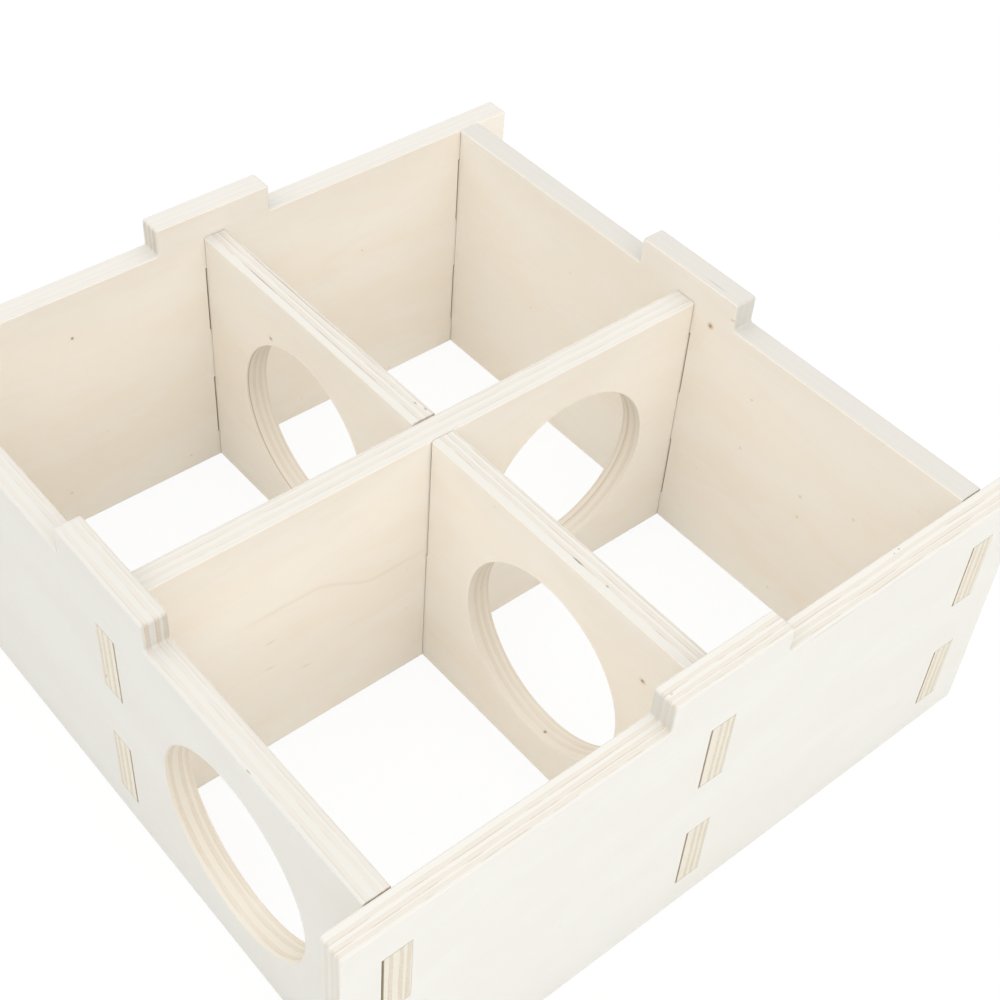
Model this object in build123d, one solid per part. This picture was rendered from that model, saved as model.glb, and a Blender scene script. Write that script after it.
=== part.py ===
from build123d import *
import os

# A low plywood house for small rodents, open at the top and the bottom. Four outer walls and two
# crossed dividers make four chambers, and round doorways lead from one to the next. No screw or
# nail shows: tenons on the ends of a panel pass right through the panel that it meets, and the two
# dividers cross in a half lap.
# Sizes are in millimetres. The origin is on the floor, in the middle of the footprint. X runs from
# the left wall to the right wall, Y from the entrance wall in front to the back wall, and Z is up.

# Plywood and rooms
panel_thickness = 9.3
wall_height = 109.0
inner_width = 255.0  # between the side walls
inner_depth = 230.0  # between the front wall and the back wall
wall_overhang = 14.0  # of the side walls, past the front wall and the back wall

# The tab on top of each outer wall, which keeps a roof board from sliding
tab_length = 48.0
tab_rise = 11.0
tab_root_radius = 1.0

# Sanding of the edges, and of the corners beyond that
edge_rounding = 0.8
corner_softness = 0.4
rim_rounding = 0.5

# The height of the doorways' centres, and of the middle between the two tenons of a pair
feature_height = 54.0

# Round doorways
doorway_diameter = 73.0
doorway_shift = 2.3  # of those in panels that run from side to side, from mid chamber to the left

# Tenons, in pairs, and the room that each has in its mortise
tenon_height = 28.5
tenon_spacing = 53.0
tenon_tight_gap = 0.1
tenon_snug_gap = 0.5  # on the other side, in the left wall and the back wall
tenon_loose_gap = 0.9  # on the other side, in the right wall and the front wall
tenon_end_gap = 0.3
shoulder_gap = 0.3

# The half lap of the dividers, with the room on each side of the slots and at their ends
upper_lap_gap = 0.5
lower_lap_gap = 0.25
lap_end_gap = 0.3

# How far a cutting block stands out of the panel, and the limit for equal positions
cut_margin = 2.0
same = 0.001

corner_radius = edge_rounding + corner_softness
mid_height = wall_height / 2
tenon_reach = shoulder_gap + panel_thickness
tenon_heights = [feature_height - tenon_spacing / 2, feature_height + tenon_spacing / 2]

# Middles of the panels, and of the chambers beside the dividers
side_wall_x = (inner_width + panel_thickness) / 2
end_wall_y = (inner_depth + panel_thickness) / 2
chamber_x = (inner_width + panel_thickness) / 4
chamber_y = (inner_depth + panel_thickness) / 4

# The side of the mortises on which the wider gap lies
toward_front = -1
toward_right = 1

# A panel is drawn flat, with its own X along its length, Y up from the floor and Z through its
# thickness, and is then stood up in one of these two ways.


def stand_across(panel, y):
    """A panel that runs from side to side."""
    return Plane(origin=(0, y, 0), x_dir=(1, 0, 0), z_dir=(0, -1, 0)) * panel


def stand_lengthwise(panel, x):
    """A panel that runs from front to back."""
    return Plane(origin=(x, 0, 0), x_dir=(0, 1, 0), z_dir=(1, 0, 0)) * panel


def rectangle(x, low, high, width):
    """A flat rectangle about x, between two heights."""
    return Pos(x, (low + high) / 2) * Rectangle(width, high - low)


def cutter(x, low, high, width):
    """A block that cuts right through a panel, about x, between two heights."""
    depth = panel_thickness / 2 + cut_margin
    return extrude(rectangle(x, low, high, width), amount=depth, both=True)


def with_tab(outline):
    """Adds the roof tab to the middle of the top edge, with soft corners and roots."""
    top = wall_height + tab_rise
    outline += rectangle(0, 0, top, tab_length)
    corners = [v for v in outline.vertices() if v.Y > top - same]
    outline = fillet(corners, corner_radius)
    roots = [v for v in outline.vertices() if abs(v.Y - wall_height) < same]
    roots = [v for v in roots if abs(abs(v.X) - tab_length / 2) < same]
    return fillet(roots, tab_root_radius)


def with_tenons(outline, length):
    """Adds a pair of tenons to each end of a panel's body."""
    reach = length + 2 * tenon_reach
    for height in tenon_heights:
        outline += rectangle(0, height - tenon_height / 2, height + tenon_height / 2, reach)
    return outline


def thicken(outline, length, free_ends):
    """Gives an outline its thickness and rounds its sanded edges.

    The shoulders and tenons at the ends stay sharp, unless the ends stand free."""
    panel = extrude(outline, amount=panel_thickness / 2, both=True)
    edges = [e for e in panel.edges() if abs(abs(e.center().Z) - panel_thickness / 2) < same]
    if not free_ends:
        edges = [e for e in edges if abs(e.center().X) < length / 2 - same]
        edges = [e for e in edges if e.center().Y < same or e.center().Y > wall_height - same]
    return fillet(edges, edge_rounding)


def cut_mortises(panel, x, wide_side, wide_gap):
    """Cuts the pair of mortises for a panel whose middle plane is at x."""
    width = panel_thickness + tenon_tight_gap + wide_gap
    x += wide_side * (wide_gap - tenon_tight_gap) / 2
    half = tenon_height / 2 + tenon_end_gap
    for height in tenon_heights:
        panel -= cutter(x, height - half, height + half, width)
    return panel


def cut_doorways(panel, places):
    """Bores the doorways and rounds both rims of each."""
    radius = doorway_diameter / 2
    for x in places:
        panel -= Pos(x, feature_height) * Cylinder(radius, panel_thickness + 2 * cut_margin)
    rims = panel.edges().filter_by(GeomType.CIRCLE)
    rims = [e for e in rims if abs(e.radius - radius) < same]
    return fillet(rims, rim_rounding)


def side_wall(wide_gap):
    """A wall with a free end front and back, mortised for three panels."""
    length = inner_depth + 2 * panel_thickness + 2 * wall_overhang
    outline = with_tab(rectangle(0, 0, wall_height, length))
    ends = [v for v in outline.vertices() if abs(abs(v.X) - length / 2) < same]
    wall = thicken(fillet(ends, corner_radius), length, free_ends=True)
    for y in (-end_wall_y, 0, end_wall_y):
        wall = cut_mortises(wall, y, toward_front, wide_gap)
    return wall


def end_wall(wide_gap):
    """A wall between the side walls, mortised for the centre divider."""
    length = inner_width - 2 * shoulder_gap
    outline = with_tab(rectangle(0, 0, wall_height, length))
    wall = thicken(with_tenons(outline, length), length, free_ends=False)
    return cut_mortises(wall, 0, toward_right, wide_gap)


def divider(inner_length):
    """A plain divider with tenons, before its slot and doorways are cut."""
    length = inner_length - 2 * shoulder_gap
    outline = with_tenons(rectangle(0, 0, wall_height, length), length)
    return thicken(outline, length, free_ends=False)


def front_wall():
    """The entrance wall: its doorway leads into the right front chamber."""
    wall = cut_doorways(end_wall(tenon_loose_gap), [chamber_x - doorway_shift])
    return stand_across(wall, -end_wall_y)


def back_wall():
    return stand_across(end_wall(tenon_snug_gap), end_wall_y)


def left_wall():
    return stand_lengthwise(side_wall(tenon_snug_gap), -side_wall_x)


def right_wall():
    return stand_lengthwise(side_wall(tenon_loose_gap), side_wall_x)


def centre_divider():
    """Runs from front to back, slotted from below, with a doorway between the back chambers."""
    slot_width = panel_thickness + 2 * lower_lap_gap
    slot = cutter(0, -cut_margin, mid_height + lap_end_gap / 2, slot_width)
    panel = cut_doorways(divider(inner_depth) - slot, [chamber_y])
    return stand_lengthwise(panel, 0)


def cross_divider():
    """Runs from side to side, slotted from above, with a doorway in each half."""
    slot_width = panel_thickness + 2 * upper_lap_gap
    slot = cutter(0, mid_height - lap_end_gap / 2, wall_height + cut_margin, slot_width)
    places = [-chamber_x - doorway_shift, chamber_x - doorway_shift]
    panel = cut_doorways(divider(inner_width) - slot, places)
    return stand_across(panel, 0)


panels = {
    "front_wall": front_wall(),
    "back_wall": back_wall(),
    "left_wall": left_wall(),
    "right_wall": right_wall(),
    "centre_divider": centre_divider(),
    "cross_divider": cross_divider(),
}

os.makedirs("parts", exist_ok=True)
for name, panel in panels.items():
    panel.label = name
    export_step(panel, f"parts/{name}.step")
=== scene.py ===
import math

import bpy
from mathutils import Matrix, Vector


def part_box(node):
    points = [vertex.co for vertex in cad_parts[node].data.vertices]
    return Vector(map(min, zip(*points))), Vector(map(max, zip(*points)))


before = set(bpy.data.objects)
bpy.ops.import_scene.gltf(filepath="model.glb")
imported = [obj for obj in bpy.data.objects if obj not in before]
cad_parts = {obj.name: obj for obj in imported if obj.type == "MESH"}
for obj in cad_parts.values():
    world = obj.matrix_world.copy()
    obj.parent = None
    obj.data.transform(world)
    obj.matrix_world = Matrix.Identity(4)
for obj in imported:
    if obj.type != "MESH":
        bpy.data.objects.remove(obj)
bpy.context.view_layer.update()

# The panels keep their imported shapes, and get a plywood that is worked out from each point's place in
# its panel, in millimetres: along the panel, up from the floor, and in from one of its faces.
MM_PER_METRE = 1000

# The camera stands where the photograph was taken from, in metres and degrees
CAMERA_PLACE = Vector((0.312888, -0.264132, 0.494085))
CAMERA_AIM = Vector((-0.000757, 0.033071, 0.054))
CAMERA_ROLL = 4.812
CAMERA_CLIP = 0.01
LENS_MM = 62.113
SENSOR_MM = 36

# Light: a room that is brighter overhead and in front, one wide lamp from the right, and a floor that
# mostly shows as white. The rim is where the brighter part overhead begins and where it is full, by how
# far up a direction points.
ROOM_LEVEL = 0.32
OVERHEAD_LEVEL = 1.41
OVERHEAD_RIM = (0.30, 0.60)
FRONT_LIFT = 0.28
KEY_DIRECTION = Vector((0.85, -0.15, 0.40))
KEY_DISTANCE = 2.0
KEY_SIZE = 0.9
KEY_WATTS = 5.2
FLOOR_SIZE = 6.0
FLOOR_COLOUR = (0.93, 0.93, 0.92, 1)
FLOOR_WHITENESS = 0.9

# Wood colours, linear
FACE = (0.933, 0.887, 0.81, 1)
FACE_WARM = (0.925, 0.857, 0.755, 1)
# Painted shade: the outer faces are the same veneer as the inner ones, painted darker and greyer
SHADED_OUTER_FACE = (0.79, 0.78, 0.735, 1)
SHADED_OUTER_WARM = (0.775, 0.76, 0.705, 1)
EDGE = (0.725, 0.703, 0.655, 1)
BORE = (0.795, 0.74, 0.65, 1)
CROSS_PLY = (0.68, 0.63, 0.54, 1)
# Painted shade: tan for the tenons' faces, which sit in the gaps of the mortises
TENON_GAP_SHADE = (0.66, 0.53, 0.38, 1)
TENON_END = (0.775, 0.735, 0.635, 1)
END_GRAIN = (0.60, 0.48, 0.35, 1)
GLUE = (0.48, 0.37, 0.25, 1)
FIGURE = (0.78, 0.68, 0.54, 1)
KNOT = (0.23, 0.17, 0.11, 1)
KNOT_HALO = (0.66, 0.46, 0.27, 1)

# How strongly some of them lie over the colour below
CROSS_PLY_TINT = 0.35
TENON_GAP_SHADE_TINT = 0.8
GLUE_TINT = 0.55
RING_TINT = 0.07
STREAK_TINT = 0.05
GRAIN_LINE_TINT = 0.30
SPECK_TINT = 0.45
HALO_TINT = 0.6

# Noise: the size of its spots in mm along the panel, up it and through it, its detail and its roughness
PLY_WANDER = ((35, 35, 20), 2, 0.5)
GLUE_BREAKS = ((16, 16, 3), 4, 0.65)
FIBRES = ((16, 0.7, 0.7), 3, 0.6)
PORES = ((0.5, 0.5, 0.5), 2, 0.7)
BLOTCHES = ((70, 22, 30), 3, 0.6)
SWIRL = ((150, 26, 60), 1.5, 0.45)
RING_PATCHES = ((60, 18, 30), 2, 0.5)
SPECKS = ((5.0, 2.6, 2.6), 1, 0.5)
NOISE_MIDDLE = 0.5

# Where in the range of its noise each effect begins and is full
GLUE_SHOWS = (0.42, 0.58)
WARMTH_SHOWS = (0.35, 0.70)
RINGS_SHOW = (0.42, 0.62)
STREAKS_SHOW = (0.30, 0.75)
PORES_SHOW = (0.30, 0.75)
SPECKS_SHOW = (0.795, 0.83)

# The wavy figure: the swirl goes up and down between 0 and the fold, and a line lies near each fold
RING_COUNT = 9.0
RING_FOLD = 0.5
RING_EDGE = (0.40, 0.50)

# By how far a surface faces out of its panel: where a cut edge begins to turn into a face and has done
# so, and the same for the end of the glue lines
FACE_TURN = (0.55, 0.90)
GLUE_TURN = (0.75, 0.98)

# End grain shows where a surface faces along the panel, a little in all plies and more in the cross
# plies, and in the cross plies of level edges. The pores let the least or the most of it show.
END_GRAIN_PLAIN = 0.15
END_GRAIN_CROSS = 0.85
END_GRAIN_LEVEL = 0.3
END_GRAIN_PORES = (0.2, 0.9)

# Relief in mm, and roughness, which follows the fibres
FIBRE_RELIEF = 0.05
PORE_RELIEF = 0.10
BUMP_STRENGTH = 0.6
ROUGHNESS = (0.52, 0.68)
ROUGHNESS_FIBRES = (0.30, 0.70)
END_GRAIN_ROUGHNESS = 0.12
SPECULAR = 0.35

# Plies. The glue lines wander by up to half of PLY_DRIFT, in mm, and the one behind each cross ply is
# weak. Each panel starts further along the noise than the one before, by PANEL_STEP in mm.
PLIES = 7
PLY_DRIFT = 1.1
GLUE_HALF_WIDTH = 0.28
WEAK_GLUE = 0.3
PANEL_STEP = 700.0

# Places on the house, in mm: half the width and depth between its walls, where the tenons begin, half a
# panel's thickness, the top edges, the tabs' tops, and the doorways
HALF_WIDTH = 127.5
HALF_DEPTH = 115.0
HALF_PANEL = 4.65
TOP = 109.0
TAB_TOP = 120.0
DOORWAY_HEIGHT = 54.0
LEFT_DOORWAY = -68.4
RIGHT_DOORWAYS = 63.8
BACK_DOORWAY = 59.8

# How far a doorway's bore with its rounded rims reaches from its centre
BORE_REACH = 37.2

# For each panel: the axis of its thickness, 0 for X and 1 for Y, the side that depth is measured from,
# and the depths of its strong glue lines. Where its tenons begin and its doorways lie along it. How much
# its top edges, its ends and its bores show the plies, and the shades of its top edges and outer face.
# The outer shares are painted shade: the front wall's outer face is painted darker than the others.
PANELS = {
    "front_wall": {
        "axis": 1, "from": -1, "glue": (1.4, 5.0, 7.5), "tenons": HALF_WIDTH, "doorways": (RIGHT_DOORWAYS,),
        "top": 0.6, "ends": 0.9, "bore": 0.5, "shade": 0.955, "outer": 0.94,
    },
    "back_wall": {
        "axis": 1, "from": 1, "glue": (1.0, 3.6, 6.8), "tenons": HALF_WIDTH,
        "top": 0.2, "ends": 0.2, "shade": 0.88, "outer": 1.0,
    },
    "left_wall": {
        "axis": 0, "from": -1, "glue": (1.4, 4.1, 6.8),
        "top": 0.3, "ends": 0.8, "shade": 0.98, "outer": 1.0,
    },
    "right_wall": {
        "axis": 0, "from": 1, "glue": (0.8, 2.8, 5.5),
        "top": 1.0, "ends": 0.3, "shade": 1.01, "outer": 1.0,
    },
    "centre_divider": {
        "axis": 0, "from": 1, "glue": (2.1, 5.4, 8.0), "tenons": HALF_DEPTH, "doorways": (BACK_DOORWAY,),
        "top": 0.7, "ends": 0.8, "bore": 0.4, "shade": 0.98,
    },
    "cross_divider": {
        "axis": 1, "from": -1, "glue": (2.9, 5.6, 8.2), "tenons": HALF_WIDTH,
        "doorways": (LEFT_DOORWAY, RIGHT_DOORWAYS),
        "top": 1.1, "ends": 0.8, "bore": 0.4, "shade": 0.97,
    },
}

# How much the tenons' ends show the plies
TENON_STRIPES = 0.8

# A dark line in one bore of a panel: the doorway, the line's depth, its half width, its strength
RIM_LINES = {
    "centre_divider": (BACK_DOORWAY, 6.3, 0.4, 0.5),
    "cross_divider": (LEFT_DOORWAY, 0.9, 0.45, 0.85),
}

# A faint line of darker grain on the near face of the centre divider. It steps down once between two
# places along the panel, each given with the line's height there, and fades in and out near its ends.
# Its sides are where it is full and where it ends, from its middle, and its wave follows the blotches.
GRAIN_LINES = {"centre_divider": ((-52.0, 68.5), (-26.0, 57.8))}
GRAIN_LINE_FADES_IN = (-86.0, -66.0)
GRAIN_LINE_FADES_OUT = (-20.0, 0.0)
GRAIN_LINE_SIDES = (0.2, 1.3)
GRAIN_LINE_WAVE = 4.0

# Knots, flecks and thin glue lines seen in the photograph: place in mm, radius, stretch along the panel,
# strength, and that of the halo
FLECKS = {
    "front_wall": [((76.0, -124.0, TOP), 0.3, 5.0, 0.6, 0.0)],
    "back_wall": [
        ((13.6, HALF_DEPTH, 104.1), 0.85, 1.0, 0.75, 1.0),
        ((11.2, 117.2, TAB_TOP), 0.25, 22.0, 0.35, 0.0),
        ((67.8, HALF_DEPTH, 61.8), 0.6, 1.0, 0.2, 0.3),
        ((68.6, HALF_DEPTH, 52.1), 0.5, 1.0, 0.2, 0.3),
        ((37.6, HALF_DEPTH, 62.5), 0.5, 1.0, 0.1, 0.3),
        ((91.2, HALF_DEPTH, 69.4), 0.5, 1.0, 0.1, 0.3),
    ],
    "left_wall": [((-HALF_WIDTH, -61.2, 89.5), 0.65, 1.0, 0.75, 0.2)],
    "right_wall": [
        ((136.6, 45.0, 107.6), 0.35, 45.0, 0.35, 0.0),
        ((128.9, 81.7, TOP), 0.35, 1.5, 0.6, 0.0),
        ((129.3, 79.1, TOP), 0.30, 1.5, 0.5, 0.0),
        ((132.0, -21.6, TAB_TOP), 0.35, 1.5, 0.4, 0.0),
    ],
    "centre_divider": [
        ((-3.1, -124.3, 71.2), 0.5, 1.0, 0.75, 0.3),
        ((HALF_PANEL, -69.6, 54.5), 0.4, 4.0, 0.1, 0.2),
        ((HALF_PANEL, -70.5, 41.8), 0.4, 3.0, 0.1, 0.2),
        ((HALF_PANEL, -56.1, 32.5), 0.4, 4.0, 0.1, 0.2),
    ],
    "cross_divider": [
        ((-86.8, -HALF_PANEL, 89.1), 0.7, 1.2, 0.6, 0.5),
        ((107.8, -HALF_PANEL, 88.3), 0.75, 1.2, 0.75, 0.5),
        ((67.8, -1.5, 17.7), 0.7, 1.2, 0.75, 0.2),
        ((-12.6, 2.2, TOP), 0.35, 2.5, 0.6, 0.0),
        ((-8.3, 3.1, TOP), 0.35, 2.5, 0.6, 0.0),
        ((72.6, -1.8, TOP), 0.35, 8.0, 0.75, 0.0),
        ((85.5, -1.5, TOP), 0.35, 2.5, 0.6, 0.0),
        ((-94.0, -1.9, TOP), 0.30, 40.0, 0.55, 0.0),
        ((-46.0, -2.0, TOP), 0.25, 145.0, 0.28, 0.0),
        ((-84.0, 3.1, TOP), 0.30, 128.0, 0.45, 0.0),
        ((-38.0, 3.0, TOP), 0.25, 45.0, 0.28, 0.0),
    ],
}

# Where flecks and halos are full and where they end, in radii, and how ragged their outlines are
FLECK_SIDES = (0.4, 1.15)
HALO_SIDES = (0.9, 2.4)
FLECK_RAGGEDNESS = 0.9


class Shader:
    """Adds shader nodes to a material or world and links them."""

    # Which sockets of a mix node take and give colours
    MIX_INPUTS = (0, 6, 7)
    MIX_OUTPUT = 2

    def __init__(self, owner):
        owner.use_nodes = True
        self.tree = owner.node_tree
        self.tree.nodes.clear()

    def add(self, kind, **settings):
        node = self.tree.nodes.new(kind)
        for key, value in settings.items():
            setattr(node, key, value)
        return node

    def put(self, socket, value):
        """Sets a socket to a number or colour, or links another node's output to it."""
        if isinstance(value, bpy.types.NodeSocket):
            self.tree.links.new(value, socket)
        else:
            socket.default_value = value

    def finish(self, kind, node):
        """Links a node's first output to the output of the material or world."""
        self.put(self.add(kind).inputs["Surface"], node.outputs[0])

    def math(self, operation, *values):
        node = self.add("ShaderNodeMath", operation=operation)
        for socket, value in zip(node.inputs, values):
            self.put(socket, value)
        return node.outputs[0]

    def product(self, first, *others):
        for value in others:
            first = self.math("MULTIPLY", first, value)
        return first

    def apart(self, first, second):
        """How far two numbers are apart."""
        return self.math("ABSOLUTE", self.math("SUBTRACT", first, second))

    def level(self, amount, first, second):
        """The number that lies by a given amount between first and second."""
        return self.math("ADD", first, self.product(amount, self.math("SUBTRACT", second, first)))

    def fade(self, value, low, high, start=0.0, end=1.0):
        """Goes smoothly from start to end while the value goes from low to high."""
        node = self.add("ShaderNodeMapRange", interpolation_type="SMOOTHSTEP")
        sockets = ("Value", "From Min", "From Max", "To Min", "To Max")
        for socket, number in zip(sockets, (value, low, high, start, end)):
            self.put(node.inputs[socket], number)
        return node.outputs[0]

    def ramp(self, value, stops, interpolation):
        """A grey ramp through (place, level) stops."""
        node = self.add("ShaderNodeValToRGB")
        ramp = node.color_ramp
        ramp.interpolation = interpolation
        while len(ramp.elements) > 1:
            ramp.elements.remove(ramp.elements[-1])
        for k, (place, level) in enumerate(stops):
            element = ramp.elements[0] if k == 0 else ramp.elements.new(place)
            element.position = place
            element.color = (level, level, level, 1)
        self.put(node.inputs[0], value)
        return node.outputs[0]

    def split(self, vector):
        """The three parts of a vector."""
        node = self.add("ShaderNodeSeparateXYZ")
        self.put(node.inputs[0], vector)
        return node.outputs

    def vector_math(self, operation, *values):
        node = self.add("ShaderNodeVectorMath", operation=operation)
        for socket, value in zip(node.inputs, values):
            self.put(socket, value)
        return node.outputs["Value" if operation == "LENGTH" else "Vector"]

    def noise(self, place, sizes, detail, roughness):
        """Noise whose spots have the given sizes in mm along the panel, up it and through it."""
        scaled = self.add("ShaderNodeCombineXYZ")
        for socket, value, size in zip(scaled.inputs, place, sizes):
            self.put(socket, self.math("DIVIDE", value, size))
        node = self.add("ShaderNodeTexNoise")
        self.put(node.inputs["Vector"], scaled.outputs[0])
        node.inputs["Scale"].default_value = 1.0
        node.inputs["Detail"].default_value = detail
        node.inputs["Roughness"].default_value = roughness
        return node.outputs[0]

    def mix(self, amount, first, second):
        """The colour that lies by a given amount between first and second."""
        node = self.add("ShaderNodeMix", data_type="RGBA")
        for k, value in zip(self.MIX_INPUTS, (amount, first, second)):
            self.put(node.inputs[k], value)
        return node.outputs[self.MIX_OUTPUT]

    def seen_directly(self):
        """1 for camera, glossy and transmission rays, 0 for the rays that light the object."""
        rays = self.add("ShaderNodeLightPath").outputs
        seen = self.math("MAXIMUM", rays["Is Camera Ray"], rays["Is Glossy Ray"])
        return self.math("MAXIMUM", seen, rays["Is Transmission Ray"])


class PanelPoint:
    """A shaded point's place in its panel, in mm, and how far its surface faces each way."""

    def __init__(self, s, name, seed):
        panel = PANELS[name]
        low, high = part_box(name)
        across = panel["axis"]
        self.axis_along = 1 - across
        self.thickness = (high[across] - low[across]) * MM_PER_METRE
        self.ply = self.thickness / PLIES
        start = (high if panel["from"] > 0 else low)[across] * MM_PER_METRE
        coordinates = s.add("ShaderNodeTexCoord").outputs
        self.place = s.vector_math("MULTIPLY", coordinates["Object"], (MM_PER_METRE,) * 3)
        place = s.split(self.place)
        self.along = place[self.axis_along]
        self.height = place[2]
        self.depth = s.product(s.math("SUBTRACT", place[across], start), -panel["from"])
        self.in_noise = (s.math("ADD", self.along, PANEL_STEP * seed), self.height, self.depth)
        facing = s.split(coordinates["Normal"])
        self.faces_along = s.math("ABSOLUTE", facing[self.axis_along])
        self.faces_up = s.math("ABSOLUTE", facing[2])
        self.faces_out = s.math("ABSOLUTE", facing[across])


def shaded(colour, share):
    """A colour made darker or lighter."""
    return tuple(share * v for v in colour[:3]) + (1,)


def plies(s, panel, point):
    """1 in the cross plies, each behind a strong glue line, and how strongly the glue shows."""
    drift = s.product(s.math("SUBTRACT", s.noise(point.in_noise, *PLY_WANDER), NOISE_MIDDLE), PLY_DRIFT)
    layer = s.math("DIVIDE", s.math("ADD", point.depth, drift), point.thickness)
    cross_stops = [(0.0, 0.0)]
    glue_stops = [(0.0, 0.0)]
    for line in panel["glue"]:
        cross_stops += [(line, 1.0), (min(line + point.ply, point.thickness), 0.0)]
        for middle, strength in ((line, 1.0), (line + point.ply, WEAK_GLUE)):
            if middle < point.thickness - GLUE_HALF_WIDTH:
                glue_stops.append((middle - GLUE_HALF_WIDTH, 0.0))
                glue_stops.append((middle, strength))
                glue_stops.append((middle + GLUE_HALF_WIDTH, 0.0))
    cross_stops = [(depth / point.thickness, level) for depth, level in cross_stops]
    glue_stops = [(depth / point.thickness, level) for depth, level in sorted(glue_stops)]
    cross = s.ramp(layer, cross_stops, "CONSTANT")
    glue = s.ramp(layer, glue_stops, "LINEAR")
    unbroken = s.fade(s.noise(point.in_noise, *GLUE_BREAKS), *GLUE_SHOWS)
    return cross, s.product(glue, unbroken, s.fade(point.faces_out, *GLUE_TURN, 1.0, 0.0))


def in_bores(s, panel, point):
    """1 in the bores of the panel's doorways, 0 elsewhere."""
    inside = 0.0
    for middle in panel.get("doorways", ()):
        aside = s.math("SUBTRACT", point.along, middle)
        above = s.math("SUBTRACT", point.height, DOORWAY_HEIGHT)
        reach = s.math("SQRT", s.math("ADD", s.product(aside, aside), s.product(above, above)))
        inside = s.math("MAXIMUM", inside, s.math("LESS_THAN", reach, BORE_REACH))
    return inside


def on_tenons(s, panel, point):
    """1 on the panel's tenons, 0 elsewhere."""
    if "tenons" not in panel:
        return 0.0
    return s.math("GREATER_THAN", s.math("ABSOLUTE", point.along), panel["tenons"])


def stripe_strength(s, panel, point, bore, tenon):
    """How strongly the plies show on the kind of edge that the point is on."""
    strength = panel["ends"]
    if "tenons" in panel:
        strength = s.level(tenon, strength, TENON_STRIPES)
    strength = s.level(point.faces_up, strength, panel["top"])
    if "doorways" in panel:
        strength = s.level(bore, strength, panel["bore"])
    return strength


def face_veneer(s, panel, point, blotches):
    """The pale veneer of both faces, with blotches and a faint wavy figure, and painted shade on an outer
    face, which is darker and greyer.
    """
    warmth = s.fade(blotches, *WARMTH_SHOWS)
    colour = s.mix(warmth, FACE, FACE_WARM)
    # Painted shade: an outer face gets a darker, greyer copy of the veneer, scaled by its panel's share
    if "outer" in panel:
        share = panel["outer"]
        shaded_outside = s.mix(warmth, shaded(SHADED_OUTER_FACE, share), shaded(SHADED_OUTER_WARM, share))
        colour = s.mix(s.math("LESS_THAN", point.depth, point.ply / 2), colour, shaded_outside)
    swirl = s.noise(point.in_noise, *SWIRL)
    ring = s.fade(s.math("PINGPONG", s.product(swirl, RING_COUNT), RING_FOLD), *RING_EDGE)
    ring = s.product(ring, s.fade(s.noise(point.in_noise, *RING_PATCHES), *RINGS_SHOW))
    return s.mix(s.product(ring, RING_TINT), colour, FIGURE)


def cut_edge(s, panel, point, bore):
    """The plain colour of the cut edges, the top edges and the bores."""
    colour = s.mix(point.faces_up, EDGE, shaded(EDGE, panel["shade"]))
    return s.mix(bore, colour, BORE)


def with_rim_line(s, name, point, bore, colour):
    """Adds the dark line at a given depth in one of the panel's bores."""
    doorway, line_depth, half_width, strength = RIM_LINES[name]
    near = s.math("LESS_THAN", s.apart(point.along, doorway), BORE_REACH)
    line = s.fade(s.apart(point.depth, line_depth), 0.0, half_width, strength, 0.0)
    return s.mix(s.product(line, near, bore), colour, GLUE)


def with_grain_line(s, name, point, blotches, colour):
    """Adds the line of darker grain, which the blotches push up and down."""
    (first, first_height), (last, last_height) = GRAIN_LINES[name]
    above = s.math("SUBTRACT", point.height, s.fade(point.along, first, last, first_height, last_height))
    above = s.math("ADD", above, s.product(s.math("SUBTRACT", blotches, NOISE_MIDDLE), GRAIN_LINE_WAVE))
    line = s.fade(s.math("ABSOLUTE", above), *GRAIN_LINE_SIDES, GRAIN_LINE_TINT, 0.0)
    begun = s.fade(point.along, *GRAIN_LINE_FADES_IN)
    unfinished = s.fade(point.along, *GRAIN_LINE_FADES_OUT, 1.0, 0.0)
    near_face = s.math("LESS_THAN", point.depth, point.ply / 2)
    return s.mix(s.product(line, begun, unfinished, near_face), colour, FIGURE)


def with_flecks(s, name, point, pores, colour):
    """Adds the photograph's knots and flecks with their halos, and small specks all over."""
    dark = 0.0
    halo = 0.0
    ragged = s.product(s.math("SUBTRACT", pores, NOISE_MIDDLE), FLECK_RAGGEDNESS)
    for centre, radius, stretch, dark_level, halo_level in FLECKS[name]:
        scale = [1 / radius] * 3
        scale[point.axis_along] /= stretch
        away = s.vector_math("MULTIPLY", s.vector_math("SUBTRACT", point.place, centre), tuple(scale))
        away = s.math("ADD", s.vector_math("LENGTH", away), ragged)
        dark = s.math("MAXIMUM", dark, s.fade(away, *FLECK_SIDES, dark_level, 0.0))
        halo = s.math("MAXIMUM", halo, s.fade(away, *HALO_SIDES, HALO_TINT * halo_level, 0.0))
    specks = s.fade(s.noise(point.in_noise, *SPECKS), *SPECKS_SHOW, 0.0, SPECK_TINT)
    colour = s.mix(specks, colour, KNOT_HALO)
    colour = s.mix(halo, colour, KNOT_HALO)
    return s.mix(dark, colour, KNOT)


def relief(s, point, fibres, pores):
    """A bump for the fibres, and for the open pores of end grain."""
    height = s.math("ADD", s.product(fibres, FIBRE_RELIEF), s.product(pores, point.faces_along, PORE_RELIEF))
    bump = s.add("ShaderNodeBump")
    bump.inputs["Strength"].default_value = BUMP_STRENGTH
    bump.inputs["Distance"].default_value = 1 / MM_PER_METRE
    s.put(bump.inputs["Height"], height)
    return bump.outputs[0]


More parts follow.
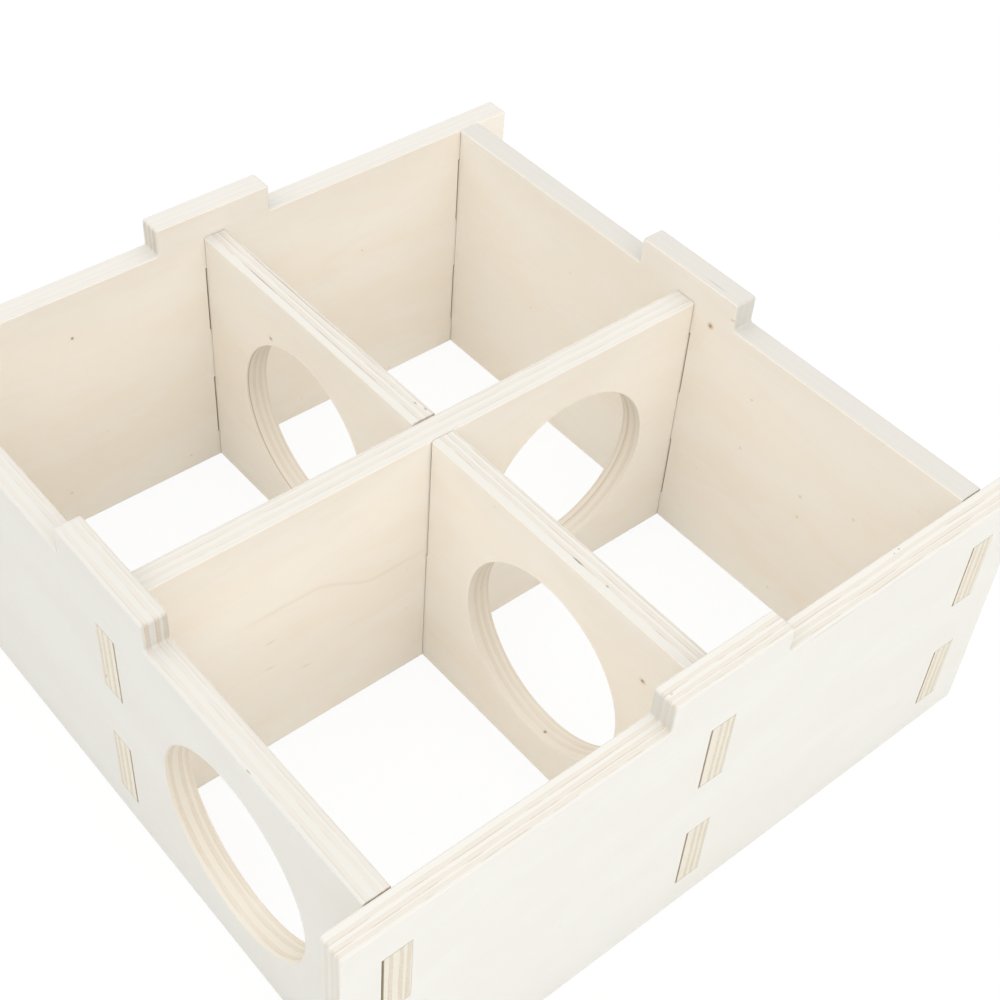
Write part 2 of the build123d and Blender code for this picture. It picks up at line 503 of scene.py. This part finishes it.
def plywood(name, seed):
    """Birch-like plywood: pale lengthwise face veneers, seven plies at every edge, knots and flecks."""
    panel = PANELS[name]
    material = bpy.data.materials.new(f"plywood_{name}")
    s = Shader(material)
    point = PanelPoint(s, name, seed)
    fibres = s.noise(point.in_noise, *FIBRES)
    pores = s.noise(point.in_noise, *PORES)
    blotches = s.noise(point.in_noise, *BLOTCHES)
    cross, glue = plies(s, panel, point)
    bore = in_bores(s, panel, point)
    tenon = on_tenons(s, panel, point)
    stripes = stripe_strength(s, panel, point, bore, tenon)
    edge = s.fade(point.faces_out, *FACE_TURN, 1.0, 0.0)

    # Faces and cut edges
    colour = s.mix(edge, face_veneer(s, panel, point, blotches), cut_edge(s, panel, point, bore))
    colour = s.mix(s.product(tenon, point.faces_along), colour, TENON_END)

    # Cross plies, end grain, fibres and glue lines
    colour = s.mix(s.product(cross, edge, stripes, CROSS_PLY_TINT), colour, CROSS_PLY)
    by_ply = s.math("ADD", END_GRAIN_PLAIN, s.product(cross, END_GRAIN_CROSS))
    end_grain = s.product(point.faces_along, by_ply)
    end_grain = s.math("ADD", end_grain, s.product(point.faces_up, cross, END_GRAIN_LEVEL))
    end_pores = s.fade(pores, *PORES_SHOW, *END_GRAIN_PORES)
    colour = s.mix(s.product(end_grain, stripes, end_pores), colour, END_GRAIN)
    colour = s.mix(s.fade(fibres, *STREAKS_SHOW, 0.0, STREAK_TINT), colour, FIGURE)
    colour = s.mix(s.product(glue, stripes, GLUE_TINT), colour, GLUE)

    # What only some panels or places have
    if name in RIM_LINES:
        colour = with_rim_line(s, name, point, bore, colour)
    # Painted shade: the tenons' faces are painted tan and darker, as the shade in the mortises' gaps
    colour = s.mix(s.product(tenon, point.faces_out, TENON_GAP_SHADE_TINT), colour, TENON_GAP_SHADE)
    if name in GRAIN_LINES:
        colour = with_grain_line(s, name, point, blotches, colour)
    colour = with_flecks(s, name, point, pores, colour)

    roughness = s.fade(fibres, *ROUGHNESS_FIBRES, *ROUGHNESS)
    roughness = s.math("ADD", roughness, s.product(end_grain, END_GRAIN_ROUGHNESS))
    surface = s.add("ShaderNodeBsdfPrincipled")
    surface.inputs["Specular IOR Level"].default_value = SPECULAR
    s.put(surface.inputs["Base Color"], colour)
    s.put(surface.inputs["Roughness"], roughness)
    s.put(surface.inputs["Normal"], relief(s, point, fibres, pores))
    s.finish("ShaderNodeOutputMaterial", surface)
    return material


def add_floor():
    """A wide pale floor that shows as nearly white and keeps a soft shadow."""
    half = FLOOR_SIZE / 2
    corners = [(-half, -half, 0), (half, -half, 0), (half, half, 0), (-half, half, 0)]
    mesh = bpy.data.meshes.new("floor")
    mesh.from_pydata(corners, [], [(0, 1, 2, 3)])
    floor = bpy.data.objects.new("floor", mesh)
    bpy.context.scene.collection.objects.link(floor)
    material = bpy.data.materials.new("floor")
    s = Shader(material)
    paint = s.add("ShaderNodeBsdfDiffuse")
    paint.inputs["Color"].default_value = FLOOR_COLOUR
    glow = s.add("ShaderNodeEmission")
    both = s.add("ShaderNodeMixShader")
    s.put(both.inputs[0], s.product(s.seen_directly(), FLOOR_WHITENESS))
    s.put(both.inputs[1], paint.outputs[0])
    s.put(both.inputs[2], glow.outputs[0])
    s.finish("ShaderNodeOutputMaterial", both)
    mesh.materials.append(material)


def add_room():
    """White all round, brighter overhead and in front, and plain white where it is seen directly."""
    world = bpy.data.worlds.new("studio")
    bpy.context.scene.world = world
    s = Shader(world)
    background = s.add("ShaderNodeBackground")
    background.inputs["Color"].default_value = (1, 1, 1, 1)
    direction = s.split(s.add("ShaderNodeTexCoord").outputs["Generated"])
    level = s.fade(direction[2], *OVERHEAD_RIM, ROOM_LEVEL, OVERHEAD_LEVEL)
    to_front = s.math("MAXIMUM", s.product(direction[1], -1.0), 0.0)
    level = s.math("ADD", level, s.product(to_front, FRONT_LIFT))
    s.put(background.inputs["Strength"], s.level(s.seen_directly(), level, 1.0))
    s.finish("ShaderNodeOutputWorld", background)


def add_key_lamp():
    """A wide lamp from the right."""
    lamp = bpy.data.lights.new("key", "AREA")
    lamp.energy = KEY_WATTS
    lamp.size = KEY_SIZE
    key = bpy.data.objects.new("key", lamp)
    key.location = KEY_DIRECTION.normalized() * KEY_DISTANCE
    key.rotation_euler = (-KEY_DIRECTION).to_track_quat("-Z", "Y").to_euler()
    bpy.context.scene.collection.objects.link(key)


def add_camera():
    """The camera that matches the photograph."""
    camera = bpy.data.objects.new("camera", bpy.data.cameras.new("camera"))
    bpy.context.scene.collection.objects.link(camera)
    look = (CAMERA_AIM - CAMERA_PLACE).to_track_quat("-Z", "Y").to_matrix().to_4x4()
    roll = Matrix.Rotation(math.radians(CAMERA_ROLL), 4, "Z")
    camera.matrix_world = Matrix.Translation(CAMERA_PLACE) @ look @ roll
    camera.data.lens = LENS_MM
    camera.data.sensor_width = SENSOR_MM
    camera.data.clip_start = CAMERA_CLIP
    bpy.context.scene.camera = camera


for number, name in enumerate(PANELS):
    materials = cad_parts[name].data.materials
    materials.clear()
    materials.append(plywood(name, number + 1))
add_floor()
add_room()
add_key_lamp()
add_camera()
bpy.context.scene.view_settings.view_transform = "Standard"
